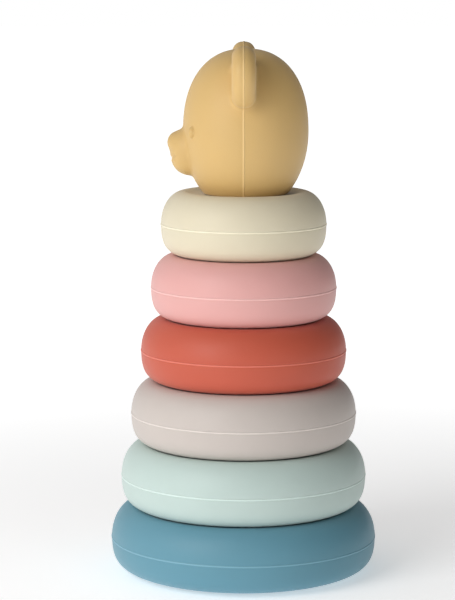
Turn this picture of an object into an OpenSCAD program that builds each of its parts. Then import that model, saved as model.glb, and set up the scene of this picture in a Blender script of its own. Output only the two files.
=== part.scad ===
// Stacking ring toy: a base with a post, five hollow rings that drop over it, and a bear's head on top.
// Millimetres, +Z up. The origin is on the post's axis at the base's underside, and the bear looks along -Y.

/* [Rings] */
// Diameter of the base over its parting ridge
base_d = 95; // [90:1:105]
// How much smaller each ring's diameter is than the one below
ring_step = 7.2; // [6.8:0.1:7.4]
// Rise of the stack per ring
ring_pitch = 22.5; // [22:0.1:23]
// Wall of the silicone shells
wall = 3; // [2.4:0.1:3.4]
// Radius of the hole through a loose ring
hole_r = 9.5; // [9:0.1:10]

/* [Post] */
// Radius of the post
post_r = 8; // [7:0.1:8]
// Height of the post's top above the floor
post_top = 160; // [154:1:160]
// Wall of the hollow post
post_wall = 2; // [1.5:0.1:3]
// Radius of the flange at the post's foot
flange_r = 14; // [12:0.5:15]

/* [Head] */
// Radius of the head where it is widest
head_r = 22.2; // [21:0.1:23]
// Radius of the head's flat underside
head_base_r = 14.4; // [14:0.1:15]
// Height from the head's underside to its widest level
head_low_h = 22; // [21:0.1:23]
// Height from the widest level to the crown
head_high_h = 29.2; // [28:0.1:30]
// Radius of an ear's disc
ear_r = 10.5; // [9:0.1:11]
// Thickness of an ear
ear_t = 8.3; // [7:0.1:9]

/* [Hidden] */
$fn = 96;

BLUE = "#6f9bb4";
MINT = "#c3d8cf";
GREY = "#cdc3bd";
RED = "#cd6550";
PINK = "#e3b1ae";
CREAM = "#dfd9c2";
MUSTARD = "#d9b679";
IVORY = "#ece6d8";

steps = 14;            // segments in each curve of a section
ridge = 0.2;           // how far the parting ridge stands out
ridge_h = 0.15;        // half the ridge's height at its crest
ridge_foot = 0.5;      // where the ridge has run out, above or below the seam
seam_h = 12;           // parting seam above a ring's underside
rim_h = 1.15;          // the rim's crest above the seat that carries the next ring
rim_in = 8.2;          // the rim's crest, in from the seam
seat_in = 15;          // the seat's outer edge, in from the seam
around_foot = 0.6;     // the underside round a ring's foot is this far above the foot
foot_in = 12.6;        // the foot's outer edge, in from the seam
edge = 1;              // rounding of the hole's edges
hub_wall = 2.4;        // wall of the tube round a ring's hole
fit_gap = 0.05;        // play of a pressed fit
flange_lift = 0.5;     // the post's flange is this far above the floor
flange_t = 2.5;        // thickness of the post's flange
socket_gap = 0.6;      // play between the post and the head's socket
socket_wall = 2.4;
socket_flange_t = 2.5;
socket_flange_r = 12;
muzzle_r = 8.4;
muzzle_out = 26;       // the muzzle's front, ahead of the axis
muzzle_back = 12;      // where the muzzle's round form begins, inside the head
muzzle_z = 15;         // the muzzle's centre above the head's underside
nose_r = 3.2;
nose_y = 23.6;
nose_z = 18.2;
eye_r = 1.5;
eye_x = 11.8;
eye_y = 17.8;
eye_z = 22.6;
ear_x = 21.5;
ear_z = 42.3;
ear_dish_r = 14;
ear_dish_depth = 1.4;
big = 80;

head_z = 6 * ring_pitch;

// A cubic curve from a to d, with b and c as its handles.
function curve(a, b, c, d) = [for (i = [0:steps]) let (t = i / steps, u = 1 - t)
    u * u * u * a + 3 * u * u * t * b + 3 * u * t * t * c + t * t * t * d];
function reversed(points) = [for (i = [len(points) - 1:-1:0]) points[i]];
function tail(points) = [for (i = [1:len(points) - 1]) points[i]];
function seam_r(k) = (base_d - k * ring_step) / 2;

// The parting ridge, then the skin beyond it. flip is 1 above the seam and -1 below.
function skin(r, points, flip) = concat(
    [[r, seam_h], [r, seam_h + flip * ridge_h], [r - ridge, seam_h + flip * ridge_foot]],
    [for (p = points) if (flip * (p[1] - seam_h) > ridge_foot + 0.3) p]);

// Round over a ring's outer lower half, down to the level around the foot.
function belly(r) = skin(r, curve([r - ridge, seam_h], [r - ridge, seam_h - 7.8], [r - 2.2, around_foot],
    [r - foot_in + 0.8, around_foot]), -1);

// Inside of the lower half, from the foot's side out to the seam.
function belly_inside(r) = reversed(curve([r - wall, seam_h], [r - wall, seam_h - 5],
    [r - wall - 2.5, wall], [r - wall - 8, wall]));

// Section of an upper shell: skin, rim, seat for the next ring, hole, and back along the inside.
module upper_section(r, bore) {
    seat = ring_pitch;
    crest = seat + rim_h;
    polygon(concat(
        skin(r, curve([r - ridge, seam_h], [r - ridge, seam_h + 6.8], [r - 4, crest], [r - rim_in, crest]), 1),
        tail(curve([r - rim_in, crest], [r - rim_in - 1.8, crest], [r - seat_in + 4, seat], [r - seat_in, seat])),
        [[bore + edge, seat], [bore + edge * 0.3, seat - edge * 0.3], [bore, seat - edge], [bore, seam_h],
         [bore + hub_wall, seam_h], [bore + hub_wall, seat - wall]],
        reversed(curve([r - wall, seam_h], [r - wall, seam_h + 4.5], [r - wall - 3.5, seat - wall],
            [r - wall - 7.5, seat - wall]))));
}

// Section of a loose ring's lower shell.
module lower_section(r, bore) {
    polygon(concat(belly(r),
        [[r - foot_in + 0.4, around_foot], [r - foot_in, 0], [bore + edge, 0],
         [bore + edge * 0.3, edge * 0.3], [bore, edge], [bore, seam_h],
         [bore + hub_wall, seam_h], [bore + hub_wall, wall]],
        belly_inside(r)));
}

// Section of the base's lower shell, with the seat for the post's flange.
module base_section(r, bore) {
    recess = flange_r + fit_gap;
    ceiling = flange_lift + flange_t;
    polygon(concat(belly(r),
        [[r - foot_in + 0.4, around_foot], [r - foot_in, 0], [recess + edge, 0],
         [recess, edge * 0.5], [recess, ceiling], [bore, ceiling], [bore, seam_h],
         [bore + hub_wall, seam_h], [bore + hub_wall, ceiling + wall], [recess + wall, ceiling + wall],
         [recess + wall + 1, wall]],
        belly_inside(r)));
}

module upper_shell(k, bore) {
    translate([0, 0, k * ring_pitch]) rotate_extrude() upper_section(seam_r(k), bore);
}

module lower_shell(k) {
    translate([0, 0, k * ring_pitch]) rotate_extrude() lower_section(seam_r(k), hole_r);
}

module base_lower_shell() {
    rotate_extrude() base_section(seam_r(0), post_r + fit_gap);
}

module post() {
    difference() {
        union() {
            translate([0, 0, flange_lift]) cylinder(r = flange_r, h = flange_t);
            translate([0, 0, flange_lift]) cylinder(r = post_r, h = post_top - post_r - flange_lift);
            translate([0, 0, post_top - post_r]) sphere(r = post_r);
        }
        translate([0, 0, flange_lift - 1])
            cylinder(r = post_r - post_wall, h = post_top - post_r - flange_lift + 1);
        translate([0, 0, post_top - post_r]) sphere(r = post_r - post_wall);
    }
}

module post_end_plug() {
    translate([0, 0, flange_lift]) cylinder(r = post_r - post_wall - fit_gap, h = flange_t);
}

// Half-section of the head's round form, from its underside to its crown.
module head_form() {
    widest = [head_r, head_low_h];
    crown = head_low_h + head_high_h;
    rotate_extrude() polygon(concat([[0, 0]],
        curve([head_base_r, 0], [head_base_r + 4.5, 5], [head_r, head_low_h - 9], widest),
        tail(curve(widest, [head_r, head_low_h + 16.5], [head_r * 0.58, crown], [0, crown]))));
}

module head_cavity() {
    r = head_r - wall;
    widest = [r, head_low_h];
    crown = head_low_h + head_high_h - wall;
    rotate_extrude() polygon(concat([[0, wall + 1]],
        curve([head_base_r - 1.4, wall + 1], [head_base_r + 2, 8], [r, head_low_h - 8], widest),
        tail(curve(widest, [r, head_low_h + 15], [r * 0.6, crown], [0, crown]))));
}

module muzzle() {
    long = muzzle_out - muzzle_back;
    rotate([90, 0, 0]) rotate_extrude() polygon(concat([[0, 0]],
        curve([muzzle_r, 0], [muzzle_r, long * 0.72], [muzzle_r * 0.6, long], [0, long])));
}

module ear() {
    rim = ear_t / 2;
    difference() {
        rotate([90, 0, 0]) rotate_extrude() union() {
            translate([0, -rim]) square([ear_r - rim, ear_t]);
            translate([ear_r - rim, 0]) intersection() {
                circle(r = rim);
                translate([0, -rim]) square([rim, ear_t]);
            }
        }
        translate([0, -rim - ear_dish_r + ear_dish_depth, 0]) sphere(r = ear_dish_r);
    }
}

module head_solid() {
    head_form();
    translate([0, -muzzle_back, muzzle_z]) muzzle();
    translate([0, -nose_y, nose_z]) sphere(r = nose_r);
    for (side = [-1, 1]) {
        translate([side * eye_x, -eye_y, eye_z]) sphere(r = eye_r);
        translate([side * ear_x, 0, ear_z]) ear();
    }
}

module head_half(front) {
    translate([0, 0, head_z]) difference() {
        intersection() {
            head_solid();
            translate([-big / 2, front ? -big : 0, -1]) cube([big, big, big]);
        }
        head_cavity();
        translate([0, 0, -1]) cylinder(r = post_r + socket_gap + socket_wall + fit_gap, h = wall + 2);
    }
}

module head_socket() {
    bore = post_r + socket_gap;
    outer = bore + socket_wall;
    ceiling = post_top - head_z + 1.5;
    translate([0, 0, head_z]) difference() {
        union() {
            translate([0, 0, flange_lift]) cylinder(r = outer, h = ceiling + socket_wall - flange_lift);
            translate([0, 0, wall + 1]) cylinder(r = socket_flange_r, h = socket_flange_t);
        }
        translate([0, 0, -1]) cylinder(r = bore, h = ceiling + 1);
    }
}

color(BLUE) base_lower_shell();
color(BLUE) upper_shell(0, post_r + fit_gap);  // base_upper_shell
color(IVORY) post();
color(IVORY) post_end_plug();
color(MINT) lower_shell(1);  // mint_ring_lower_shell
color(MINT) upper_shell(1, hole_r);  // mint_ring_upper_shell
color(GREY) lower_shell(2);  // grey_ring_lower_shell
color(GREY) upper_shell(2, hole_r);  // grey_ring_upper_shell
color(RED) lower_shell(3);  // red_ring_lower_shell
color(RED) upper_shell(3, hole_r);  // red_ring_upper_shell
color(PINK) lower_shell(4);  // pink_ring_lower_shell
color(PINK) upper_shell(4, hole_r);  // pink_ring_upper_shell
color(CREAM) lower_shell(5);  // cream_ring_lower_shell
color(CREAM) upper_shell(5, hole_r);  // cream_ring_upper_shell
color(MUSTARD) head_half(true);  // head_front_shell
color(MUSTARD) head_half(false);  // head_back_shell
color(IVORY) head_socket();
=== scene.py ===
# %% [markdown]
# A silicone stacking toy: a base with a post, five nested rings and a bear's head.
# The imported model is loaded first, as a frame that never moves. Radii, seams and levels are read
# from its boxes, so each new piece lands on the body that it rides. The finer shapes between them
# are given below, in millimetres.

# %% The frame
import math
import bmesh
import bpy
import numpy as np
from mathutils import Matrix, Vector


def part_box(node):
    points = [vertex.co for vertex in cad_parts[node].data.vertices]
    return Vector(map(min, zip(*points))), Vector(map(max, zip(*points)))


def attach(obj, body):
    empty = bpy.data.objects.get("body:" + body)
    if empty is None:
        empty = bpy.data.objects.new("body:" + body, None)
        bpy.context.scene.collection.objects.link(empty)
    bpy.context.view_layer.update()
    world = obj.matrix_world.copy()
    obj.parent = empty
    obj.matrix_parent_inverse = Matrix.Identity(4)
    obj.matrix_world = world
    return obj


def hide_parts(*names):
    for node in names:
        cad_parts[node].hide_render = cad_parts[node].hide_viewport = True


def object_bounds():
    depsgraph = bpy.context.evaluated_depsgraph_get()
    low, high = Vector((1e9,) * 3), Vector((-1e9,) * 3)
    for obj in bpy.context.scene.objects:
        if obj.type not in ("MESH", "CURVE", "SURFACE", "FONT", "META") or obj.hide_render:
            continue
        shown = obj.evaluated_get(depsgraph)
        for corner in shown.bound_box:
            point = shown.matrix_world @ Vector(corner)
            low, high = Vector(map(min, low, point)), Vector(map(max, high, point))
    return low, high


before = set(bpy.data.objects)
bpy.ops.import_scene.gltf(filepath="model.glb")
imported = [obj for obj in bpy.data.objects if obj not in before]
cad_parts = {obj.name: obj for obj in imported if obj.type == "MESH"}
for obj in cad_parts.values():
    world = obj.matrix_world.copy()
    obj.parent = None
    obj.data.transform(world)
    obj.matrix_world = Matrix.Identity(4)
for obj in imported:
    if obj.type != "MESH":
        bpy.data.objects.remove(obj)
cad_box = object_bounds()
MM = 0.001
RINGS = ["mint_ring", "grey_ring", "red_ring", "pink_ring", "cream_ring"]

# %% [markdown]
# Shader maths reads best as plain arithmetic. A Wire holds one output socket, and adding or
# multiplying it adds the Math node. Every other node comes from the one method `node`, which takes
# the node's type, its settings, and the values or wires of its sockets.

# %% A wire that does arithmetic
class Wire:
    def __init__(self, tree, socket):
        self.tree, self.socket = tree, socket

    @staticmethod
    def node(tree, kind, settings=None, sockets=None, out=0):
        made = tree.nodes.new(kind)
        for name, value in (settings or {}).items():
            setattr(made, name, value)
        for key, value in (sockets or {}).items():
            if isinstance(value, Wire):
                tree.links.new(value.socket, made.inputs[key])
            else:
                made.inputs[key].default_value = value
        return Wire(tree, made.outputs[out])

    def math(self, operation, *values):
        sockets = dict(enumerate(values))
        return Wire.node(self.tree, "ShaderNodeMath", {"operation": operation}, sockets)

    def __add__(self, other):
        return self.math("ADD", self, other)

    def __sub__(self, other):
        return self.math("SUBTRACT", self, other)

    def __rsub__(self, other):
        return self.math("SUBTRACT", other, self)

    def __mul__(self, other):
        return self.math("MULTIPLY", self, other)

    __radd__ = __add__


print("wire ready:", [name for name in ("__add__", "__sub__", "__mul__") if hasattr(Wire, name)])

# %% [markdown]
# Moulded silicone is matt and a little powdery. Light goes a short way into it, so its shadows
# are soft and keep their colour. Up close it has a fine grain from the mould, faint cloudy
# differences in colour, and a few dust specks and pits. Noise textures give the first two, and
# thresholded Voronoi cells give the specks, because they are sparse round dots. Where flash stands
# out at the parting seam it is thin and a little paler. Its colour is lightened further there as a
# painted highlight, standing in for the light the ridge catches. So the meshes carry an attribute
# that says where that is.

# %% Colour helpers
def linear(hex_colour):
    channels = [int(hex_colour[i:i + 2], 16) / 255 for i in (0, 2, 4)]
    return [c / 12.92 if c <= 0.04045 else ((c + 0.055) / 1.055) ** 2.4 for c in channels]


def shade(colour, factor):
    return tuple(min(1.0, c * factor) for c in colour) + (1.0,)


# %% Silicone
def blank_material(name):
    material = bpy.data.materials.new(name)
    material.use_nodes = True
    tree = material.node_tree
    shader = tree.nodes["Principled BSDF"]
    place = Wire.node(tree, "ShaderNodeTexCoord", out="Object")
    return material, tree, shader, place


def noise(tree, place, scale, detail):
    return Wire.node(tree, "ShaderNodeTexNoise", {},
                     {"Vector": place, "Scale": scale, "Detail": detail})


def dots(tree, place, spacing, size):
    """1 in small round dots that lie about spacing metres apart, 0 between them."""
    far = Wire.node(tree, "ShaderNodeTexVoronoi", {}, {"Vector": place, "Scale": 1 / spacing})
    return Wire.node(tree, "ShaderNodeMapRange", {"interpolation_type": "SMOOTHSTEP"},
                     {"Value": far, "From Min": size * 0.5 / spacing, "From Max": size / spacing,
                      "To Min": 1.0, "To Max": 0.0})


def blend_colours(tree, factor, low, high):
    """The Mix node's colour sockets are numbers 6 and 7, and its colour output is number 2."""
    return Wire.node(tree, "ShaderNodeMix", {"data_type": "RGBA"},
                     {0: factor, 6: low, 7: high}, out=2)


CLOUD_SCALE, STREAK_SCALE, GRAIN_SCALE = 38.0, 240.0, 2600.0
SPECK_SIZE = 0.00034


def silicone(name, hex_colour, speck_spacing, depth=0.004):
    material, tree, shader, place = blank_material(name)
    colour = linear(hex_colour)
    clouds = noise(tree, place, CLOUD_SCALE, 3.0)
    grain = noise(tree, place, GRAIN_SCALE, 2.0)
    streaks = noise(tree, place, STREAK_SCALE, 4.0)
    specks = dots(tree, place, speck_spacing, SPECK_SIZE)
    patches = clouds * 0.7 + streaks * 0.3
    body = blend_colours(tree, patches, shade(colour, 0.95), shade(colour, 1.05))
    flash = Wire.node(tree, "ShaderNodeAttribute", {"attribute_name": "flash"}, out="Fac")
    # Painted highlight on the seam: the flash is made paler than the body, partly its own lighter
    # colour and partly painted light.
    pale_flash_and_highlight = tuple(min(1.0, 1.35 * c + 0.07) for c in colour) + (1.0,)
    skin_with_flash_highlight = blend_colours(tree, flash * 0.8, body, pale_flash_and_highlight)
    skin = blend_colours(tree, specks * 0.5, skin_with_flash_highlight, shade(colour, 0.5))
    height = grain * 0.00004 + streaks * 0.00005 - specks * 0.00012
    bump = Wire.node(tree, "ShaderNodeBump", {},
                     {"Height": height, "Distance": 1.0, "Strength": 0.6})
    roughness = 0.5 + (streaks - 0.5) * 0.16 + (grain - 0.5) * 0.06
    for key, wire in (("Base Color", skin), ("Normal", bump), ("Roughness", roughness)):
        tree.links.new(wire.socket, shader.inputs[key])
    shader.inputs["Subsurface Weight"].default_value = 0.12
    shader.inputs["Subsurface Radius"].default_value = [0.4 + 0.6 * c for c in colour]
    shader.inputs["Subsurface Scale"].default_value = depth
    shader.inputs["Specular IOR Level"].default_value = 0.38
    shader.inputs["Sheen Weight"].default_value = 0.12
    shader.inputs["Sheen Roughness"].default_value = 0.45
    return material


SILICONE = {
    "base": silicone("blue_silicone", "679bad", 0.011),
    "mint_ring": silicone("mint_silicone", "c5d7d1", 0.013),
    "grey_ring": silicone("grey_silicone", "cbc1ba", 0.019),
    "red_ring": silicone("red_silicone", "c65b44", 0.022),
    "pink_ring": silicone("pink_silicone", "e1a9a4", 0.022),
    "cream_ring": silicone("cream_silicone", "dbd1b7", 0.02),
    "head": silicone("mustard_silicone", "d1ae70", 0.024),
}
print("silicones:", len(SILICONE))

# %% [markdown]
# The post, its end plug and the socket in the head are stiff moulded plastic. They show only when
# the toy is taken apart. Sliding rings rub faint upright marks into such a post, so its roughness
# and colour vary in streaks stretched along its length.

# %% Moulded plastic
def plastic(name, hex_colour):
    material, tree, shader, place = blank_material(name)
    colour = linear(hex_colour)
    long_way = Wire.node(tree, "ShaderNodeMapping", {},
                         {"Vector": place, "Scale": (1.0, 1.0, 0.06)})
    rubs = noise(tree, long_way, 900.0, 3.0)
    clouds = noise(tree, place, 60.0, 2.0)
    grain = noise(tree, place, 3200.0, 1.0)
    skin = blend_colours(tree, rubs * 0.6 + clouds * 0.4, shade(colour, 0.94), shade(colour, 1.03))
    bump = Wire.node(tree, "ShaderNodeBump", {},
                     {"Height": rubs * 0.00003 + grain * 0.00002, "Distance": 1.0, "Strength": 0.5})
    for key, wire in (("Base Color", skin), ("Normal", bump), ("Roughness", 0.3 + rubs * 0.22)):
        tree.links.new(wire.socket, shader.inputs[key])
    return material


ivory = plastic("ivory_plastic", "ece6d8")
for node in ("post", "post_end_plug", "head_socket"):
    cad_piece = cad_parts[node]
    for place in cad_piece.material_slots:
        place.material = ivory
    print(node, "finished in", ivory.name)

# %% [markdown]
# Each ring is moulded as a lower and an upper shell that are bonded at mid-height. The section is a
# soft, low cushion: a round outer side, a rim, a shallow seat for the next ring, and a hole for the
# post. A section turned about the axis gives the even rings of quads that such a shape wants, and
# Bezier curves keep each stretch of the section as smooth as the real one. A fine ridge of flash
# stands out at the seam.

# %% Section helpers
RIDGE_END = 0.7


def curve(a, b, c, d, steps=18):
    """Points of a cubic curve from a to d, with b and c as its handles."""
    a, b, c, d = (np.array(point, float) for point in (a, b, c, d))
    points = []
    for i in range(steps + 1):
        t = i / steps
        u = 1 - t
        points.append(u ** 3 * a + 3 * u * u * t * b + 3 * u * t * t * c + t ** 3 * d)
    return points


def ridge_and_skin(r, seam, points, side):
    """The half of the flash ridge on one side of the seam, then the skin beyond it."""
    profile = [(0, 0), (0.01, 0.14), (0.06, 0.23), (0.2, 0.32), (0.25, 0.42), (0.21, 0.6)]
    crest = [(r - inward, seam + side * away) for inward, away in profile]
    return crest + [p for p in points if side * (p[1] - seam) > RIDGE_END]


# %% Sections of the two shells, in millimetres above a ring's underside
WALL, HUB, EDGE, FLASH = 3.0, 2.4, 1.0, 0.2
LIFT = 0.6                                    # the underside round the foot, above the foot
RIM_IN, SEAT_IN = 8.2, 15                     # the rim's crest and the seat's edge, from the seam
BELLY_IN, FOOT_IN = 11.8, 12.6                # where the belly ends and the foot begins
SKIN_STEPS, DISH_STEPS, FOOT_STEPS = 26, 14, 6


def hole_edge(r_hole, level, side):
    """A quarter round from a flat face at level into the hole; side is 1 on top and -1 below."""
    arc = []
    for i in range(7):
        turn = math.radians(15 * i)
        drop = EDGE * (1 - math.cos(turn))
        arc.append((r_hole + EDGE - EDGE * math.sin(turn), level - side * drop))
    return arc


def upper_section(r, hole, seam, seat, crest):
    outside = curve((r - FLASH, seam), (r - FLASH, seam + 6.8), (r - 4, crest),
                    (r - RIM_IN, crest), SKIN_STEPS)
    dish = curve((r - RIM_IN, crest), (r - 10, crest), (r - 11, seat), (r - SEAT_IN, seat),
                 DISH_STEPS)[1:]
    inside = curve((r - WALL, seam), (r - WALL, seam + 4.5), (r - 6.5, seat - WALL),
                   (r - 10.5, seat - WALL))
    return (ridge_and_skin(r, seam, outside, 1) + dish + hole_edge(hole, seat, 1)
            + [(hole, seam), (hole + HUB, seam), (hole + HUB, seat - WALL)] + inside[::-1])


def lower_section(r, hole, seam, recess=None):
    outside = curve((r - FLASH, seam), (r - FLASH, seam - 7.8), (r - 2.2, LIFT),
                    (r - BELLY_IN, LIFT), SKIN_STEPS)
    foot = curve((r - BELLY_IN, LIFT), (r - 12.2, LIFT), (r - 12.3, 0), (r - FOOT_IN, 0),
                 FOOT_STEPS)[1:]
    inside = curve((r - WALL, seam), (r - WALL, seam - 5), (r - 5.5, WALL), (r - 11, WALL))
    if recess:
        wide, deep = recess
        middle = [(wide + 1, 0), (wide + 0.4, 0.1), (wide, 0.5), (wide, deep), (hole, deep),
                  (hole, seam), (hole + HUB, seam), (hole + HUB, deep + WALL),
                  (wide + WALL, deep + WALL), (wide + WALL + 1, WALL)]
    else:
        middle = hole_edge(hole, 0, -1) + [(hole, seam), (hole + HUB, seam), (hole + HUB, WALL)]
    return ridge_and_skin(r, seam, outside, -1) + foot + middle + inside[::-1]


# %% Turning a section into a shell
TURNS = 180
FLASH_DEEP, FLASH_HALF = 0.15, 0.3            # a point this near the ridge's crest counts as flash
FLASH_WAVE = 0.035


def settle(piece, sharp_degrees=34):
    """Smooth faces, with the edges that are really sharp kept sharp."""
    mesh = piece.data
    mesh.polygons.foreach_set("use_smooth", [True] * len(mesh.polygons))
    mesh.set_sharp_from_angle(angle=math.radians(sharp_degrees))
    bpy.context.scene.collection.objects.link(piece)


def flash_height(angle, seed):
    """How proud the flash stands around a ring: 0 to about 0.07 mm less than its full height."""
    return FLASH_WAVE * (2 - math.sin(3 * angle + seed) - math.sin(7 * angle + 2.3 * seed)) / 2


def turned(name, section, lift, seam, radius, seed):
    verts, faces, flash = [], [], []
    count = len(section)
    for turn in range(TURNS):
        angle = 2 * math.pi * turn / TURNS
        for r, z in section:
            on_flash = radius - r < FLASH_DEEP and abs(z - seam) < FLASH_HALF
            r -= on_flash * flash_height(angle, seed)
            flash.append(float(on_flash))
            verts.append((r * math.cos(angle) * MM, r * math.sin(angle) * MM, (z + lift) * MM))
    for turn in range(TURNS):
        here, after = turn * count, (turn + 1) % TURNS * count
        for i in range(count):
            j = (i + 1) % count
            faces.append((here + i, after + i, after + j, here + j))
    mesh = bpy.data.meshes.new(name)
    mesh.from_pydata(verts, [], faces)
    mesh.attributes.new("flash", "FLOAT", "POINT").data.foreach_set("value", flash)
    tidy = bmesh.new()
    tidy.from_mesh(mesh)
    bmesh.ops.recalc_face_normals(tidy, faces=tidy.faces)
    tidy.to_mesh(mesh)
    tidy.free()
    piece = bpy.data.objects.new(name, mesh)
    settle(piece)
    return piece


def stand_in_for(piece, node, body):
    """The piece takes a CAD node's place, rides on its body and has its silicone."""
    piece.data.materials.append(SILICONE[body])
    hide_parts(node)
    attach(piece, body)


# %% The base and the five rings
POST_WALL, FIT_GAP, PLAY, FLANGE_T = 2.0, 0.05, 1.5, 2.5
PLUG_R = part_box("post_end_plug")[1][0] / MM
POST_R = round(PLUG_R + POST_WALL + FIT_GAP, 1)
FLANGE_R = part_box("post")[1][0] / MM
FLANGE_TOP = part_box("post")[0][2] / MM + FLANGE_T
HOLE_R = POST_R + PLAY
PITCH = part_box("mint_ring_lower_shell")[0][2] / MM
for number, body in enumerate(["base"] + RINGS):
    low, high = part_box(body + "_lower_shell"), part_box(body + "_upper_shell")
    radius, lift = high[1][0] / MM, low[0][2] / MM
    seam, crest = low[1][2] / MM - lift, high[1][2] / MM - lift
    hole = POST_R + FIT_GAP if body == "base" else HOLE_R
    recess = (FLANGE_R + FIT_GAP, FLANGE_TOP) if body == "base" else None
    place = (lift, seam, radius, number)
    upper = turned(body + "_upper_half", upper_section(radius, hole, seam, PITCH, crest), *place)
    lower = turned(body + "_lower_half", lower_section(radius, hole, seam, recess), *place)
    stand_in_for(upper, body + "_upper_shell", body)
    stand_in_for(lower, body + "_lower_shell", body)
    print(body, "radius", round(radius, 2), "from", round(lift, 2), "seam", round(seam, 2), "mm")

# %% [markdown]
# The bear's head flows: ears and snout grow out of the egg with small fillets. Separate primitives
# would meet in hard creases. So the head is described as a field, a formula that gives the distance
# to its surface, negative inside. Fields can be joined with a soft minimum, which makes the
# fillets. A net of quads is then drawn over the place where the field is zero.

# %% Field helpers: distances in millimetres from the middle of the head's underside
def soft_union(a, b, k):
    mix = np.clip(0.5 + 0.5 * (b - a) / k, 0, 1)
    return b + (a - b) * mix - k * mix * (1 - mix)


def soft_cut(a, b, k):
    """What is in a and outside b."""
    return -soft_union(-a, b, k)


def ellipsoid(x, y, z, centre, half, power=2.0):
    dx, dy, dz = x - centre[0], y - centre[1], z - centre[2]
    grown = sum(np.abs(d / h) ** power for d, h in zip((dx, dy, dz), half)) ** (1 / power)
    away = np.sqrt(dx * dx + dy * dy + dz * dz)
    return away * (1 - 1 / np.maximum(grown, 0.02))


# %% The egg, ears and face
HEAD_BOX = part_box("head_back_shell")
EAR_TIP = HEAD_BOX[1][0] / MM
HEAD_FOOT = HEAD_BOX[0][2] / MM
HEAD_TOP = HEAD_BOX[1][2] / MM - HEAD_FOOT
EAR_R, EAR_HALF, EAR_EDGE = 10.5, 4.15, 3.7
EGG_R, EGG_MIDDLE, EGG_HALF, EGG_BACK = 22.1, 22.0, 29.2, 0.7
# Middle and half sizes, and for the snout how square it is
SNOUT = ((0, -17.6, 15.3), (7.9, 8.3, 8.7), 2.4)
NOSE = ((0, -23.3, 18.3), (4.6, 3.6, 3.9))
EYE = ((11.8, -18.0, 22.6), (1.5, 1.35, 2.0))
MOUTH_Z, MOUTH_DEEP = 12.9, 0.55
FOOT_CLEARANCE = 0.05                         # keeps the head's foot from lying flush on its seat
SOCKET_RIM = 1.0                              # how far the socket's flange stands out from its tube
SOCKET_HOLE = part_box("head_socket")[0][0] / -MM - SOCKET_RIM + FIT_GAP


def egg(x, y, z, inset=0.0):
    r, half = EGG_R - inset, EGG_HALF - inset
    out = np.sqrt(x * x + (y - EGG_BACK) ** 2)
    up = z - EGG_MIDDLE
    power = np.where(up > 0, 2.3, 2.0)
    grown = ((out / r) ** power + (np.abs(up) / half) ** power) ** (1 / power)
    return np.sqrt(out * out + up * up) * (1 - 1 / np.maximum(grown, 0.02))


def ears(x, y, z):
    dx, dz = np.abs(x) - (EAR_TIP - EAR_R), z - (HEAD_TOP - EAR_R)
    out = np.sqrt(dx * dx + dz * dz)
    over, beside = out - (EAR_R - EAR_EDGE), np.abs(y) - (EAR_HALF - EAR_EDGE)
    disc = np.minimum(np.maximum(over, beside), 0) - EAR_EDGE
    disc = disc + np.sqrt(np.maximum(over, 0) ** 2 + np.maximum(beside, 0) ** 2)
    hollow = ellipsoid(dx, y, dz, (0, -EAR_HALF - 0.6, 0), (6.3, 2.4, 6.3))
    return soft_cut(disc, hollow, 1.2)


def face(x, y, z, head):
    head = soft_union(head, ellipsoid(x, y, z, *SNOUT), 1.1)
    head = soft_union(head, ellipsoid(x, y, z, *NOSE), 1.0)
    smile = MOUTH_Z + 0.045 * x * x
    in_front = np.clip((-y - 21) / 2, 0, 1)
    mouth = np.exp(-((z - smile) / 0.5) ** 2) * np.clip((6.2 - np.abs(x)) / 1.2, 0, 1)
    under_nose = np.clip((z - MOUTH_Z) / 0.6, 0, 1) * np.clip((17 - z) / 1.0, 0, 1)
    lip = np.exp(-(x / 0.45) ** 2) * under_nose
    head = head + MOUTH_DEEP * in_front * np.maximum(mouth, lip)
    return soft_union(head, ellipsoid(np.abs(x), y, z, *EYE), 0.35)


def head_skin(x, y, z):
    head = soft_union(egg(x, y, z), ears(x, y, z), 1.6)
    return soft_cut(face(x, y, z, head), z - FOOT_CLEARANCE, 1.1)


def head_field(x, y, z):
    cavity = soft_cut(egg(x, y, z, WALL), z - WALL - 1, 0.8)
    hole = np.maximum(np.sqrt(x * x + y * y) - SOCKET_HOLE, z - 6)
    return np.maximum(head_skin(x, y, z), -np.minimum(cavity, hole))


print("egg", EGG_R, "ears reach", round(EAR_TIP, 2), "top", round(HEAD_TOP, 2))

# %% A net of quads over the zero of a field
STEP = 0.6


def surface_net(field, low, high):
    axes = [np.arange(a, b, STEP) for a, b in zip(low, high)]
    value = field(*np.meshgrid(*axes, indexing="ij"))
    inside = value < 0
    cells = tuple(n - 1 for n in value.shape)
    total, hits = np.zeros(cells + (3,)), np.zeros(cells)

    def corner(array, offset):
        return array[tuple(slice(o, o + n) for o, n in zip(offset, cells))]

    for axis in range(3):
        for side in range(4):
            start = [side & 1, side >> 1]
            start.insert(axis, 0)
            end = list(start)
            end[axis] = 1
            a, b = corner(value, start), corner(value, end)
            cross = (a < 0) != (b < 0)
            along = np.where(cross, a / np.where(cross, a - b, 1), 0)
            for part in range(3):
                total[..., part] += cross * (along if part == axis else start[part])
            hits += cross
    used = hits > 0
    number = np.full(cells, -1)
    number[used] = np.arange(used.sum())
    base = np.stack(np.nonzero(used), axis=1)
    points = (base + total[used] / hits[used][:, None]) * STEP + np.array(low)
    return points, net_faces(inside, number)


def net_faces(inside, number):
    """One quad round every grid edge that the surface crosses."""
    quads = []
    for axis in range(3):
        first, second = [a for a in range(3) if a != axis]
        change = np.diff(inside.astype(np.int8), axis=axis)
        for place in np.stack(np.nonzero(change), axis=1):
            ring = []
            for step_a, step_b in ((1, 1), (0, 1), (0, 0), (1, 0)):
                cell = place.copy()
                cell[first] -= step_a
                cell[second] -= step_b
                ring.append(int(number[tuple(cell)]))
            quads.append(ring)
    return quads


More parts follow.
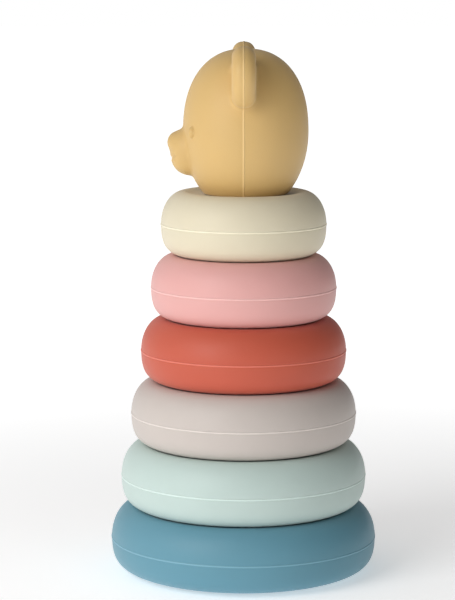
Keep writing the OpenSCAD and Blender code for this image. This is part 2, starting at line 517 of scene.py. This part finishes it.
def onto_surface(points, field, rounds=3):
    """Moves each point along the field's slope until the field is zero there."""
    small = 0.02
    for _ in range(rounds):
        here = field(*points.T)
        slope = np.stack([(field(*(points + small * step).T) - here) / small
                          for step in np.eye(3)], axis=1)
        length = np.maximum((slope ** 2).sum(axis=1), 0.1)
        move = np.clip(here / length, -0.3, 0.3)
        points = points - move[:, None] * slope
    return points


NET_FRONT, NET_BACK, NET_BOTTOM, NET_SPARE = -29.1, 25, -1.5, 2
reach = EAR_TIP + NET_SPARE
points, quads = surface_net(head_field, (-reach, NET_FRONT, NET_BOTTOM),
                            (reach, NET_BACK, HEAD_TOP + NET_SPARE))
points = onto_surface(points, head_field)
print("head net:", len(points), "points", len(quads), "quads")

# %% [markdown]
# The head is moulded in a front and a back half. The net is cut at the parting plane, and close
# to it on both sides, so that there are rows of points to raise into the flash ridge that runs over
# the crown, round the ears' edges and down the cheeks. Each half is closed by flat faces in the
# parting plane. They are split into triangles, because their outlines are hollow in places.

# %% Front and back halves
CUTS = (-0.5, -0.25, -0.1, 0.1, 0.25, 0.5)
RIDGE_REACH = 0.45                            # how far from the plane points are raised
SKIN_NEAR, FOOT_CLEAR = 0.12, 0.4             # only on the outer skin, and not on the foot
PALE_AND_HIGHLIGHT_REACH = 0.26                             # how far from the plane the flash is painted pale: own colour and painted highlight


def cut(form, at, **clear):
    everything = list(form.verts) + list(form.edges) + list(form.faces)
    bmesh.ops.bisect_plane(form, geom=everything, plane_co=(0, at, 0), plane_no=(0, 1, 0), **clear)


def raise_flash(form):
    """Moves the outer skin's points near the parting plane outwards, the most at the plane."""
    near = [v for v in form.verts if abs(v.co.y) < RIDGE_REACH]
    spots = np.array([v.co for v in near])
    skin = head_skin(*spots.T)
    small = 0.05
    slope_x = (head_skin(*(spots + [small, 0, 0]).T) - skin) / small
    slope_z = (head_skin(*(spots + [0, 0, small]).T) - skin) / small
    for vertex, depth, gx, gz in zip(near, skin, slope_x, slope_z):
        if abs(depth) < SKIN_NEAR and vertex.co.z > FOOT_CLEAR:
            height = FLASH * (1 - abs(vertex.co.y) / RIDGE_REACH) / max(0.5, math.hypot(gx, gz))
            vertex.co.x += height * gx
            vertex.co.z += height * gz


def head_half(name, front):
    form = bmesh.new()
    made = [form.verts.new(p) for p in points]
    form.verts.ensure_lookup_table()
    for quad in quads:
        form.faces.new([made[i] for i in quad])
    for at in CUTS:
        cut(form, at)
    cut(form, 0, clear_outer=front, clear_inner=not front)
    raise_flash(form)
    rim = [e for e in form.edges if e.is_boundary]
    parting = bmesh.ops.holes_fill(form, edges=rim, sides=0)["faces"]
    bmesh.ops.triangulate(form, faces=parting, ngon_method="EAR_CLIP")
    bmesh.ops.recalc_face_normals(form, faces=form.faces)
    for vertex in form.verts:
        vertex.co = Vector((vertex.co.x, vertex.co.y, vertex.co.z + HEAD_FOOT)) * MM
    open_edges = sum(1 for e in form.edges if not e.is_manifold)
    # The flash mask fades away from the parting plane. It paints the seam paler, partly its own
    # lighter colour and partly a painted highlight.
    flash = [max(0.0, 1 - abs(v.co.y) / MM / PALE_AND_HIGHLIGHT_REACH) ** 0.5 for v in form.verts]
    mesh = bpy.data.meshes.new(name)
    form.to_mesh(mesh)
    mesh.attributes.new("flash", "FLOAT", "POINT").data.foreach_set("value", flash)
    form.free()
    piece = bpy.data.objects.new(name, mesh)
    settle(piece)
    print(name, len(mesh.polygons), "faces,", open_edges, "open edges")
    return piece


stand_in_for(head_half("head_front_half", True), "head_front_shell", "head")
stand_in_for(head_half("head_back_half", False), "head_back_shell", "head")

# %% [markdown]
# The toy stands on a plain white sweep, so that its base meets the floor with only a faint contact
# shadow. A large soft light comes from in front of the bear, a small one from behind it, and a
# surround, bright in front of the bear and dim behind it, lifts the shadows.

# %% Floor
def floor_paint():
    """Matt white that also glows a little, more with distance, so that the sweep shows no edge."""
    material, tree, shader, place = blank_material("white_floor")
    tone = noise(tree, place, 3.0, 2.0)
    skin = blend_colours(tree, tone, (0.93, 0.93, 0.93, 1), (0.95, 0.95, 0.95, 1))
    tree.links.new(skin.socket, shader.inputs["Base Color"])
    shader.inputs["Roughness"].default_value = 0.9
    shader.inputs["Specular IOR Level"].default_value = 0.0
    away = Wire.node(tree, "ShaderNodeVectorMath", {"operation": "LENGTH"}, {0: place}, out="Value")
    glow = Wire.node(tree, "ShaderNodeMapRange", {"interpolation_type": "SMOOTHSTEP"},
                     {"Value": away, "From Min": 0.05, "From Max": 0.6,
                      "To Min": 0.42, "To Max": 0.85})
    tree.links.new(glow.socket, shader.inputs["Emission Color"])
    shader.inputs["Emission Strength"].default_value = 1.0
    return material


SWEEP = 6.0
sheet = bpy.data.meshes.new("floor")
corners = [(-SWEEP, -SWEEP, 0), (SWEEP, -SWEEP, 0), (SWEEP, SWEEP, 0), (-SWEEP, SWEEP, 0)]
sheet.from_pydata(corners, [], [(0, 1, 2, 3)])
floor = bpy.data.objects.new("floor", sheet)
sheet.materials.append(floor_paint())
bpy.context.scene.collection.objects.link(floor)
print("floor", SWEEP * 2, "m wide")

# %% Lights
def aim(thing, place, target):
    thing.location = place
    thing.rotation_euler = (Vector(target) - Vector(place)).to_track_quat("-Z", "Y").to_euler()
    bpy.context.scene.collection.objects.link(thing)


def softbox(name, place, target, width, watts):
    lamp = bpy.data.lights.new(name, "AREA")
    lamp.shape, lamp.size, lamp.energy = "DISK", width, watts
    aim(bpy.data.objects.new(name, lamp), place, target)


middle = (0, 0, (cad_box[0][2] + cad_box[1][2]) / 2)
softbox("key", (0.66, -0.62, 0.5), middle, 0.7, 4.8)
softbox("fill", (0.8, 0.5, 0.4), middle, 0.3, 0.35)


def studio_walls():
    """White where the camera sees it; as light, bright in front of the bear and dim behind it."""
    walls = bpy.data.worlds.new("studio")
    walls.use_nodes = True
    tree = walls.node_tree
    way = Wire.node(tree, "ShaderNodeTexCoord", out="Generated")
    sideways = Wire.node(tree, "ShaderNodeSeparateXYZ", {}, {"Vector": way}, out="Y")
    lit = Wire.node(tree, "ShaderNodeMapRange", {"interpolation_type": "SMOOTHSTEP"},
                    {"Value": sideways, "From Min": -0.9, "From Max": 0.9,
                     "To Min": 0.54, "To Max": 0.04})
    seen = Wire.node(tree, "ShaderNodeLightPath", out="Is Camera Ray")
    strength = lit + seen * (1.0 - lit)
    tree.links.new(strength.socket, tree.nodes["Background"].inputs["Strength"])
    tree.nodes["Background"].inputs["Color"].default_value = (1, 1, 1, 1)
    return walls


world = studio_walls()
bpy.context.scene.world = world
bpy.context.scene.view_settings.view_transform = "Standard"

# %% [markdown]
# The camera looks at the bear's left side from a little above, with a long lens that keeps the
# rings' ellipses shallow.

# %% Camera
CAMERA_AWAY, CAMERA_HEIGHT = 0.8419, 0.2209
PITCH_DOWN, TURN_LEFT = math.radians(8.358), math.radians(0.385)
camera = bpy.data.objects.new("camera", bpy.data.cameras.new("camera"))
camera.data.lens = 143.7
spot = Vector((CAMERA_AWAY, 0, CAMERA_HEIGHT))
look = Vector((-math.cos(PITCH_DOWN), -math.sin(TURN_LEFT), -math.sin(PITCH_DOWN)))
aim(camera, spot, spot + look)
bpy.context.scene.camera = camera
print("camera at", tuple(round(c, 3) for c in spot))

# %% Sizes
print("cad box", [[round(c, 4) for c in corner] for corner in cad_box])
